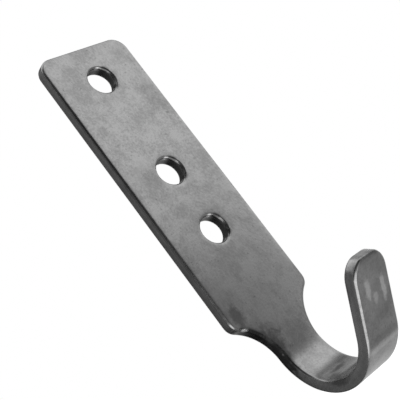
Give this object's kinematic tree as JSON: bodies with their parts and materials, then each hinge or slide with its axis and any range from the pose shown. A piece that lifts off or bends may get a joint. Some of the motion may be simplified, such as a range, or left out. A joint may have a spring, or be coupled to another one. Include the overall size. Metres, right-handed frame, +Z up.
{
  "type": "screw-on plate hook",
  "caption": "Stamped steel plate hook: a flat plate with round screw holes narrows at hollow shoulders to a strap bent forward and up into an open hook with a rounded tip.",
  "frame": {"origin": "on the plate's back face, midway between the two upper screw holes, on the centre line", "axes": "+Z up along the plate as mounted on a wall, +X across the plate, +Y into the wall; the plate's front and the hook's opening are towards -Y, and the tip points up and out"},
  "size_m": [0.02, 0.0262, 0.0762],
  "materials": {
    "tumbled_steel": "tumbled, satin grey"
  },
  "bodies": {
    "root": {"hook": "tumbled_steel"}
  },
  "joints": []
}
